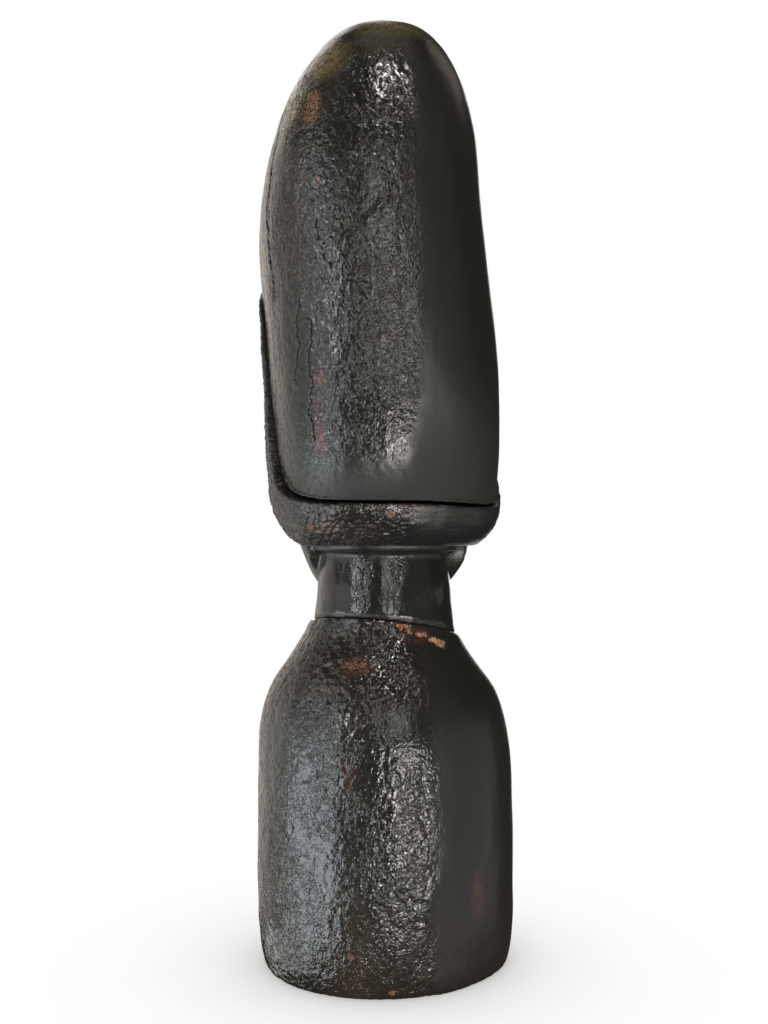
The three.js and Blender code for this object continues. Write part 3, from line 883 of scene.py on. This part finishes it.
def make_shoulders(material):
    """The shoulder block: crawled lacquer at the back and on the left, smooth and matt elsewhere."""
    piece = dense_copy("shoulder_block", "carved_shoulders", voxel=0.92, sharp_from=30, rounds=36)
    check = wandering(piece, BLOCK_CHECK, seed=9)
    for reach in (2.2, 1.1):
        refined(piece, [check], reach)
    s = Surface(piece)
    up = s.points[:, 2]
    outside = ramp(s.outwards(), 0.1, 0.5)
    left_side = turned_to(s.points, *BLOCK_LEFT_SIDE)
    brushed = spot(s.points, *BLOCK_BRUSHED)
    rough_side = (0.12 + 0.88 * left_side) * (1 - 0.7 * brushed)

    # The top, inside the joint, reaches up to the neck's end.
    top_face = ramp(s.normals[:, 2], 0.8, 0.95) * ramp(above_neck_joint(s.points), -1.5, -0.8)
    s.raise_by(0.3 * top_face)
    s.raise_by(outside * 0.6 * lumps(s.points, (26, 26, 45), 7))
    s.raise_by(outside * rough_side * 0.22 * lumps(s.points, (6, 6, 13), 8, 3))
    s.raise_by(-outside * rough_side * 0.45 * hollows(s.points, (3.2, 3.2, 3.8), 9))
    pitted = rough_side * ramp(up, *BLOCK_PITTED)
    s.raise_by(-pitted * 0.45 * ramp(grains(s.points, (3.4, 3.4, 3.0), 3), 0.6, 0.9))
    s.crack(check, width=0.45, depth=0.8)
    for centre, radii, depth, bareness in BLOCK_CHIPS:
        s.chip(centre, radii, depth, bareness)
    s.raise_by(0.05 * brushed * lumps(s.points, (2.4, 2.4, 34), 19))
    chopped = spot(s.points, *BLOCK_CHOPPED)
    s.raise_by(-0.4 * chopped * hollows(s.points, (2.7, 2.7, 3.4), 20))

    s.paint("crawl", rough_side)
    s.paint("dull", 0.7 * (1 - left_side))
    s.paint("brush", brushed)
    s.paint("red", 0.12 * pitted * (0.6 + 0.4 * lumps(s.points, (9, 9, 9), 17)))
    # Painted shading: a dark red tint along the block's right edge.
    s.paint("red", 0.3 * turned_to(s.points, *BLOCK_RED_SHADING_SIDE))
    amber_foot = ramp(up, *BLOCK_AMBER_FOOT) * turned_to(s.points, *BLOCK_AMBER_SIDE)
    s.paint("amber", 0.05 * amber_foot)
    s.stain_and_sheen(BLOCK_STAINS)
    s.finish()
    handed_over(piece, material, "blackened_wood", "shoulder_block")


# ------------------------------------------------------------------ pegs
def curved_terms(u, v):
    """The terms of a slightly curved surface over a plane."""
    return np.stack([np.ones_like(u), u, v, u * u, u * v, v * v], 1)


def make_peg(node, host, outside, inner, bare_radius, bareness, amber, material):
    """A whittled peg, cut off level with the piece it is driven through and lacquered over but for
    the worn middle of its end. Its way in runs from a place outside to an inner one."""
    piece = dense_copy(node, "whittled_" + node, voxel=0.3, sharp_from=60, rounds=8)
    s = Surface(piece)
    start = np.array(outside, float)
    inward = np.array(inner, float) - start
    inward /= np.linalg.norm(inward)
    level = np.cross(inward, (0, 0, 1))
    level /= np.linalg.norm(level)
    peg_axes = np.stack([level, np.cross(inward, level), inward], 1)

    # The host's surface round the peg, as depths along the peg.
    around_u, around_v, around_depth = ((points_of(host.data) - start) @ peg_axes).T
    around = np.hypot(around_u, around_v)
    ring = (around > PEG_MOUTH) & (around < 2 * PEG_MOUTH) & (normals_of(host.data) @ inward < -0.4)
    terms = curved_terms(around_u[ring], around_v[ring])
    bed = np.linalg.lstsq(terms, around_depth[ring], rcond=None)[0]

    # The end is swollen to fill its mouth and follows that surface; the upper peg has turned rings.
    u, v, depth = ((s.points - start) @ peg_axes).T
    end_face = ramp(-(s.normals @ inward), 0.3, 0.7)
    swollen = 1 + 0.65 * ramp(depth - curved_terms(u, v) @ bed, 2.4, 0.8)
    u, v = u * swollen, v * swollen
    aside = np.hypot(u, v)
    cut = curved_terms(u, v) @ bed - 0.04 + 0.10 * amber * np.cos(aside * 2 * math.pi / 1.5)
    cut += 0.3 * ramp(aside, 3.6, 5.2)
    depth += end_face * (cut - depth)
    s.points = start + np.stack([u, v, depth], 1) @ peg_axes.T
    s.raise_by(0.08 * end_face * lumps(s.points, (1.6, 1.6, 1.6), 12))
    uneven = aside + 0.8 * lumps(s.points, (1.5, 1.5, 1.5), 13)
    s.paint("bare", bareness * (1 - ramp(uneven, bare_radius * 0.6, bare_radius)))
    s.paint("amber", amber * end_face)
    # A dark dot in the middle of the amber end, in the same colour as the painted shade of the
    # checks.
    s.paint("check", amber * end_face * (1 - ramp(aside, 0.12, 0.45)))
    s.paint("crawl", np.full(len(s.points), 0.6))
    s.finish()
    handed_over(piece, material, "raw_wood", node)


# ------------------------------------------------------------------ light, floor and camera
SKYLIGHT = (0.94, 0.97, 1.0)
DAYLIGHT = (1.0, 0.98, 0.95)
WARM_DAYLIGHT = (1.0, 0.96, 0.91)
CREAM_WALL = (1.0, 0.95, 0.90)
GREENISH_WALL = (0.96, 1.0, 0.93)

# Upright lamps round the figure: name, the degrees to the camera's right from which to which they
# reach, distance, lower and upper edge, glow and colour. The panes are bright and narrow, and make
# the upright strips of reflection; the others stand for dimmer windows, walls and the floor.
SOFT_BOXES = (
    ("window_left_low", (-86, -41), 900, (-400, 0), 6.0, (0.85, 0.93, 1.0)),
    ("window_left_middle", (-94, -39), 900, (0, 140), 2.0, (0.84, 0.93, 1.0)),
    ("window_left_high", (-90, -34), 900, (140, 320), 1.0, SKYLIGHT),
    ("wall_left_high", (-86, -34), 930, (325, 960), 0.12, SKYLIGHT),
    ("pane_left_far", (-82, -77), 920, (400, 980), 6.5, SKYLIGHT),
    ("pane_left_near", (-60, -55), 920, (400, 980), 8, SKYLIGHT),
    ("pane_left_low", (-45, -38), 895, (230, 560), 15, (0.96, 0.98, 1.0)),
    ("window_right", (10, 42), 905, (-220, 90), 0.6, WARM_DAYLIGHT),
    ("pane_right_near", (12, 19), 900, (-225, 60), 26, WARM_DAYLIGHT),
    ("pane_right_far", (28, 34), 900, (-225, 60), 24, WARM_DAYLIGHT),
    ("window_right_high", (2, 26), 915, (150, 640), 0.4, DAYLIGHT),
    ("pane_right_high_near", (3, 7), 910, (230, 950), 6, DAYLIGHT),
    ("pane_right_high_far", (15, 20), 910, (230, 950), 7, DAYLIGHT),
    ("floor_left", (-134, -48), 950, (-640, -400), 2.2, (0.98, 0.97, 0.94)),
    ("floor_right", (-40, 110), 960, (-620, -400), 0.7, (1.0, 0.96, 0.90)),
    ("wall_left_foot", (-134, -88), 950, (-400, -130), 0.55, (1.0, 0.95, 0.86)),
    ("wall_left_low", (-134, -94), 950, (-130, 190), 1.0, (1.0, 0.97, 0.92)),
    ("wall_left_middle", (-134, -92), 950, (190, 430), 0.72, CREAM_WALL),
    ("wall_left_top", (-134, -92), 950, (430, 900), 0.36, CREAM_WALL),
    ("wall_left_back", (-176, -134), 1000, (-300, 1000), 0.8, (1.0, 0.88, 0.78)),
    ("wall_right_low", (46, 112), 1000, (-400, 200), 0.42, GREENISH_WALL),
    ("wall_right_high", (30, 80), 1000, (200, 1300), 0.12, GREENISH_WALL),
    ("wall_front", (160, 183), 1000, (-250, 900), 1.8, (1.0, 0.96, 0.92)),
)
# Lamps that look at the head from above: name, place, width and height, glow and colour.
LAMPS_ABOVE = (
    ("ceiling_light", (-90, 600, 1250), (75, 140), 90, DAYLIGHT),
    ("ceiling", (-60, 40, 1600), (700, 640), 0.4, (1.0, 0.88, 0.68)),
    ("over_front", (120, -950, 1150), (700, 500), 1.3, (1.0, 0.97, 0.94)),
    ("over_back_right", (-850, -450, 1250), (500, 500), 0.6, (1.0, 0.84, 0.70)),
)
LAMPS_AIM = (0, 50, 380)


def from_camera(turn, distance, height):
    """A place at some degrees to the camera's right of it, seen from the figure."""
    way = math.radians(CAMERA_SWING - turn)
    return distance * math.sin(way), distance * math.cos(way), height


def facing(place, target):
    """The rotation that turns a lamp or camera at a place towards a target."""
    way = Vector(target) - Vector(place)
    return way.to_track_quat("-Z", "Y").to_euler()


def lamp(name, place, target, size, glow, colour):
    """A rectangular lamp with a given glow, the same seen from everywhere in front of it."""
    width, height = size
    light = bpy.data.lights.new(name, "AREA")
    light.shape = "RECTANGLE"
    light.size = width * MM
    light.size_y = height * MM
    light.energy = glow * math.pi * width * height * MM * MM
    light.color = colour
    holder = bpy.data.objects.new(name, light)
    bpy.context.scene.collection.objects.link(holder)
    holder.location = Vector(place) * MM
    holder.rotation_euler = facing(place, target)
    holder.visible_camera = False


def add_lights():
    for name, (first, last), distance, (low, high), glow, colour in SOFT_BOXES:
        middle = (low + high) / 2
        place = from_camera((first + last) / 2, distance, middle)
        width = 2 * distance * math.tan(math.radians(last - first) / 2)
        lamp(name, place, (0, 0, middle), (width, high - low), glow, colour)
    for name, place, size, glow, colour in LAMPS_ABOVE:
        lamp(name, place, LAMPS_AIM, size, glow, colour)


def add_world():
    """A dim room, which the camera sees as white."""
    world = bpy.data.worlds.new("studio")
    bpy.context.scene.world = world
    world.use_nodes = True
    tree = world.node_tree
    background = tree.nodes["Background"]
    path = tree.nodes.new("ShaderNodeLightPath")
    mix = tree.nodes.new("ShaderNodeMixRGB")
    mix.inputs["Color1"].default_value = ROOM
    mix.inputs["Color2"].default_value = WHITE
    tree.links.new(path.outputs["Is Camera Ray"], mix.inputs["Fac"])
    tree.links.new(mix.outputs["Color"], background.inputs["Color"])


def add_floor():
    """A white floor that darkens softly where the figure stands on it."""
    work = bmesh.new()
    bmesh.ops.create_circle(work, cap_ends=True, radius=FLOOR_RADIUS * MM, segments=96)
    mesh = bpy.data.meshes.new("floor")
    work.to_mesh(mesh)
    work.free()
    floor = bpy.data.objects.new("floor", mesh)
    bpy.context.scene.collection.objects.link(floor)
    s = Shader("pale_floor")
    reach = {"Distance": FLOOR_SHADE_REACH * MM}
    openness = s.node("AmbientOcclusion", reach, samples=8).outputs["AO"]
    shade = s.stretch(openness, 0.25, 0.98)
    glow = s.node("Emission", {"Color": s.blend(shade, FLOOR_SHADE, WHITE)})
    s.put(s.tree.nodes["Material Output"].inputs["Surface"], glow.outputs["Emission"])
    s.tree.nodes.remove(s.principled)
    mesh.materials.append(s.material)
    floor.visible_glossy = False
    floor.visible_shadow = False


def add_camera():
    camera = bpy.data.objects.new("camera", bpy.data.cameras.new("camera"))
    bpy.context.scene.collection.objects.link(camera)
    camera.data.lens = CAMERA_LENS
    camera.data.sensor_width = CAMERA_SENSOR
    camera.data.clip_start = CLOSEST_SEEN * MM
    place = from_camera(0, CAMERA_DISTANCE, CAMERA_HEIGHT)
    camera.location = Vector(place) * MM
    camera.rotation_euler = facing(place, (0, 0, AIM_HEIGHT))
    bpy.context.scene.camera = camera


# ------------------------------------------------------------------ the whole scene
polished = lacquered(
    "polished_lacquer", wrinkle=(2.2, 2.2, 2.8), wrinkle_depth=0.12, calm=0.5, bead_depth=0.08,
    grit=0.03, roughness=0.05,
)
granular = lacquered(
    "granular_lacquer", wrinkle=(1.6, 1.6, 1.4), wrinkle_depth=0.09, calm=0.5, bead_depth=0.12,
    grit=0.07, roughness=0.13, pit_size=1.9, dark=HAIR_BLACK,
)
crawled = lacquered(
    "crawled_lacquer", wrinkle=(2.8, 2.8, 3.0), wrinkle_depth=0.14, calm=0.4, bead_depth=0.07,
    grit=0.02, roughness=0.05,
)

cap = make_cap(polished)
hair_roll = make_hair(granular)
make_head(polished)
make_shoulders(crawled)
make_peg(
    "cap_peg_left_upper", cap, outside=(47, 47, 380.5), inner=(14, 16, 369), bare_radius=1.8,
    bareness=0.40, amber=0.65, material=polished,
)
make_peg(
    "cap_peg_left_lower", cap, outside=(46, 61, 342), inner=(16, 20, 336), bare_radius=1.3,
    bareness=0.7, amber=0.0, material=polished,
)
make_peg(
    "hair_peg_nape", hair_roll, outside=(9.2, 66, 201), inner=(4, 16, 202.5), bare_radius=2.4,
    bareness=0.52, amber=0.0, material=polished,
)
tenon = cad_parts["neck_tenon"]
tenon.data.materials.clear()
tenon.data.materials.append(raw_wood("bare_wood"))

add_world()
add_floor()
add_lights()
add_camera()
bpy.context.scene.view_settings.view_transform = "Standard"
